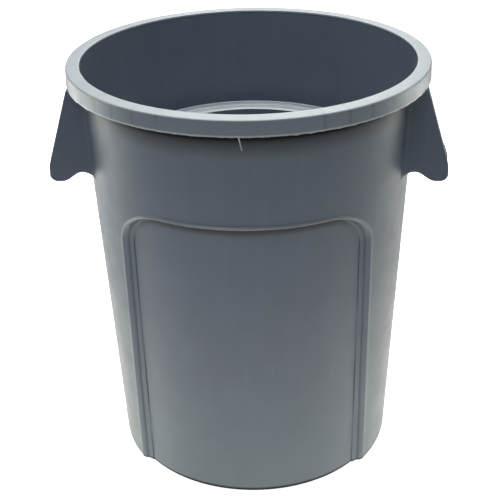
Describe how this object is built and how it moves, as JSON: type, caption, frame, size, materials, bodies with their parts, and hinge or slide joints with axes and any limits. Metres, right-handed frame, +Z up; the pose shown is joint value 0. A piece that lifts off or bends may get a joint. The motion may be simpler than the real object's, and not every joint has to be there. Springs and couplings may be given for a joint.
{
  "type": "round waste container",
  "caption": "Tapered open-top plastic container with rolled rim, hood handles, recessed front and back panels, and a lift-out inner liner.",
  "frame": {"origin": "centre of the standing face, on the floor", "axes": "+Z up through the mouth, handles on +X and -X, recessed panels on -Y (front) and +Y (back)"},
  "size_m": [0.6386, 0.574, 0.692],
  "materials": {
    "container_plastic": "satin moulded polyethylene, blue grey",
    "rim_plastic": "satin moulded polyethylene, blue grey, slightly lighter on the crown",
    "handle_plastic": "satin moulded polyethylene, blue grey",
    "liner_plastic": "satin moulded polyethylene, blue grey",
    "liner_rim_plastic": "satin moulded polyethylene, pale blue grey"
  },
  "bodies": {
    "container": {"upper_wall": "container_plastic", "front_panel": "container_plastic", "back_panel": "container_plastic", "left_wall": "container_plastic", "right_wall": "container_plastic", "floor_panel": "container_plastic", "foot_ring": "container_plastic", "rim_band": "rim_plastic", "handle_left": "handle_plastic", "handle_left_grip": "handle_plastic", "handle_right": "handle_plastic", "handle_right_grip": "handle_plastic"},
    "liner": {"liner_floor": "liner_plastic", "liner_wall": "liner_plastic", "liner_rim": "liner_rim_plastic"}
  },
  "joints": [
    {"name": "liner_lift", "type": "slide", "parent": "container", "child": "liner", "axis": [0, 0, 1], "range_m": [0, 0.7]}
  ]
}
